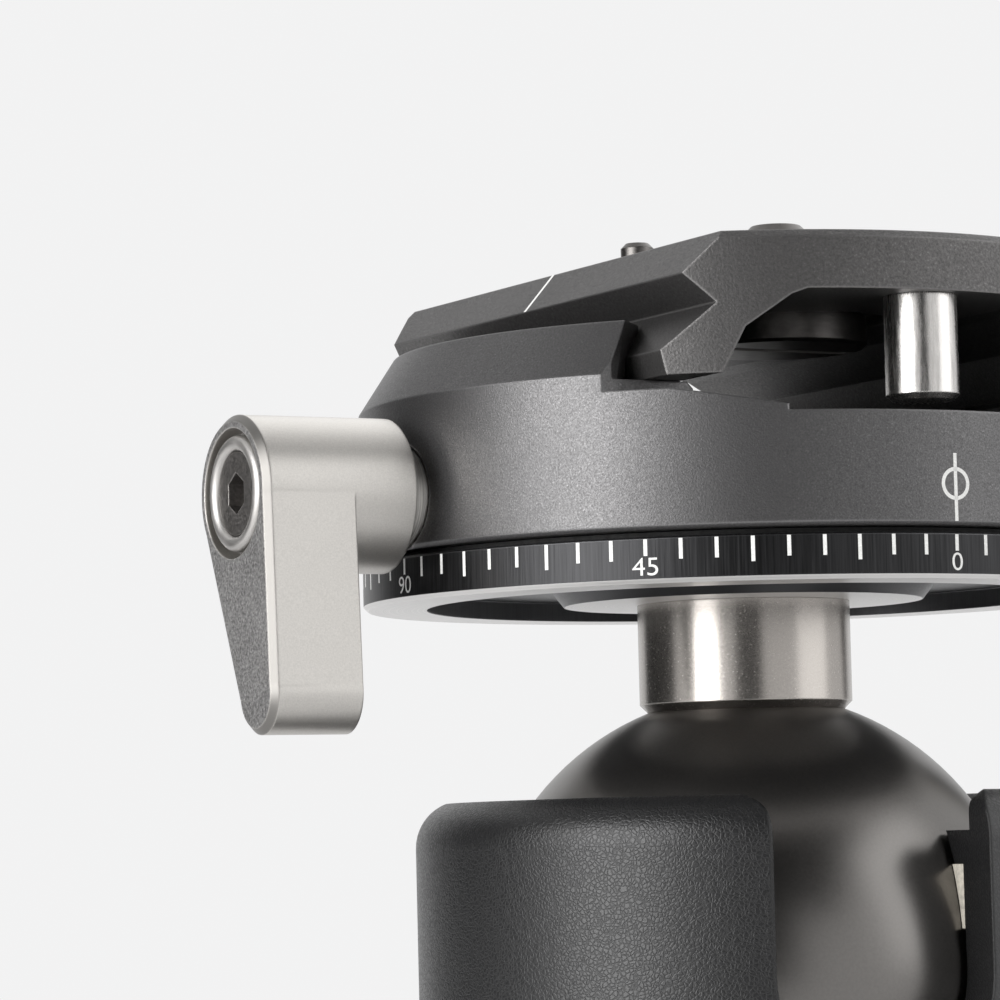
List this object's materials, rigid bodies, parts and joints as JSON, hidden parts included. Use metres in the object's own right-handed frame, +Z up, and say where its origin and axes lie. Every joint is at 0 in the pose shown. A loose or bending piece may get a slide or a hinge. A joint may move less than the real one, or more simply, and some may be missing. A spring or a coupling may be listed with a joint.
{
  "type": "ball head",
  "caption": "Tripod ball head with a panning base, a drop notch and a rotating dovetail clamp that holds a round-ended camera plate",
  "frame": {"origin": "centre of the base's underside, on the axis of the tripod thread", "axes": "+Z up along the tripod thread; the zero mark and the plate's front end face -Y; the clamp's pan lock lever is on -X and its moving jaw on +X"},
  "size_m": [0.0842, 0.0572, 0.1089],
  "materials": {
    "dark_anodised": "bead-blasted dark grey anodised aluminium",
    "plate_anodised": "bead-blasted dark grey anodised aluminium",
    "black_ring": "black anodised, finely brushed round, engraved scale",
    "black_coat": "black semi-gloss leather-grain coat",
    "black_anodised": "black anodised",
    "lever_silver": "champagne-silver satin anodised",
    "bright_steel": "polished steel",
    "dark_oxide": "dark oxide steel",
    "turned_steel": "turned steel",
    "neck_metal": "satin nickel",
    "ball_metal": "dark grey hard anodised, satin",
    "brass": "turned brass",
    "bearing_plastic": "pale bearing plastic",
    "glide_plastic": "black bearing plastic",
    "grip_rubber": "black rubber",
    "spring_steel": "spring steel wire"
  },
  "bodies": {
    "base": {"base_disc": "black_anodised", "tripod_bush": "turned_steel", "spindle": "turned_steel", "base_screws": "dark_oxide", "base_glide_ring": "glide_plastic"},
    "housing": {"housing": "black_coat", "bearing_plate": "black_anodised", "bearing_screws": "dark_oxide", "floor_disc": "black_anodised", "seat_liner": "bearing_plastic"},
    "pressure_cup": {"pressure_cup": "bearing_plastic"},
    "lock_wedge": {"lock_wedge": "brass"},
    "main_lever": {"main_lever": "lever_silver", "main_ferrule": "bright_steel", "main_screw": "dark_oxide", "main_shaft": "turned_steel"},
    "base_lever": {"base_lever": "lever_silver", "base_ferrule": "bright_steel", "base_lever_screw": "dark_oxide", "base_shaft": "turned_steel"},
    "base_brake": {"base_brake_pad": "brass"},
    "ball": {"ball": "ball_metal", "neck": "neck_metal", "pan_ring": "black_ring", "pan_hub": "turned_steel", "stem_bolt": "dark_oxide", "pan_glide_ring": "glide_plastic", "hub_retainer": "black_anodised", "stop_button": "black_anodised", "retainer_screws": "dark_oxide"},
    "clamp": {"clamp_body": "dark_anodised", "jaw_springs": "spring_steel"},
    "pan_lever": {"pan_lever": "lever_silver", "pan_ferrule": "bright_steel", "pan_lever_screw": "dark_oxide", "pan_shaft": "turned_steel"},
    "pan_brake": {"pan_brake_pad": "brass"},
    "jaw": {"moving_jaw": "dark_anodised", "guide_pins": "turned_steel"},
    "jaw_lever": {"jaw_lever": "lever_silver", "jaw_ferrule": "bright_steel", "jaw_lever_screw": "dark_oxide", "jaw_shaft": "turned_steel"},
    "plate": {"camera_plate": "plate_anodised", "rubber_strips": "grip_rubber", "stop_pins": "bright_steel", "locating_pin": "dark_oxide"},
    "screw_clip": {"screw_clip": "turned_steel"},
    "camera_screw": {"camera_screw": "dark_oxide"}
  },
  "joints": [
    {"name": "base_pan", "type": "hinge", "parent": "base", "child": "housing", "pos_m": [0, 0, 0.0085], "axis": [0, 0, 1], "continuous": true},
    {"name": "main_lock_turn", "type": "hinge", "parent": "housing", "child": "main_lever", "pos_m": [0, 0, 0.02628], "axis": [0.989, -0.1478, 0], "range_deg": [0, 110]},
    {"name": "wedge_slide", "type": "slide", "parent": "housing", "child": "lock_wedge", "axis": [0.989, -0.1478, 0], "range_m": [0, 0.000305]},
    {"name": "cup_slide", "type": "slide", "parent": "housing", "child": "pressure_cup", "axis": [0, 0, -1], "range_m": [0, 0.000112]},
    {"name": "base_lock_turn", "type": "hinge", "parent": "housing", "child": "base_lever", "pos_m": [0, 0, 0.01455], "axis": [-0.989, 0.1478, 0], "range_deg": [0, 90]},
    {"name": "base_brake_slide", "type": "slide", "parent": "housing", "child": "base_brake", "axis": [-0.989, 0.1478, 0], "range_m": [0, 0.000199]},
    {"name": "ball_tilt", "type": "hinge", "parent": "housing", "child": "ball", "pos_m": [0, 0, 0.05235], "axis": [0.989, -0.1478, 0], "range_deg": [-35, 70]},
    {"name": "top_pan", "type": "hinge", "parent": "ball", "child": "clamp", "pos_m": [0, 0, 0.0829], "axis": [0, 0, 1], "continuous": true},
    {"name": "pan_lock_turn", "type": "hinge", "parent": "clamp", "child": "pan_lever", "pos_m": [0, 0, 0.08719], "axis": [-1, 0, 0], "range_deg": [0, 100]},
    {"name": "pan_brake_slide", "type": "slide", "parent": "clamp", "child": "pan_brake", "axis": [-1, 0, 0], "range_m": [0, 0.000221]},
    {"name": "jaw_turn", "type": "hinge", "parent": "jaw", "child": "jaw_lever", "pos_m": [0, 0, 0.08719], "axis": [1, 0, 0], "range_deg": [0, 1226]},
    {"name": "jaw_slide", "type": "slide", "parent": "clamp", "child": "jaw", "axis": [1, 0, 0], "range_m": [0, 0.0034], "deforming": ["jaw_springs"]},
    {"name": "plate_slide", "type": "slide", "parent": "clamp", "child": "plate", "axis": [0, 1, 0], "range_m": [-0.0125, 0.0125]},
    {"name": "screw_slide", "type": "slide", "parent": "plate", "child": "screw_clip", "axis": [0, 1, 0], "range_m": [-0.0029, 0.0111]},
    {"name": "screw_turn", "type": "hinge", "parent": "screw_clip", "child": "camera_screw", "pos_m": [0, -0.0061, 0.1], "axis": [0, 0, 1], "continuous": true}
  ],
  "couplings": [
    {"joint": "main_lock_turn", "follows": "wedge_slide", "rad_per_m": 6283.2},
    {"joint": "cup_slide", "follows": "wedge_slide", "ratio": 0.36397},
    {"joint": "base_lock_turn", "follows": "base_brake_slide", "rad_per_m": 7854},
    {"joint": "pan_lock_turn", "follows": "pan_brake_slide", "rad_per_m": 7854},
    {"joint": "jaw_turn", "follows": "jaw_slide", "rad_per_m": 6283.2}
  ]
}
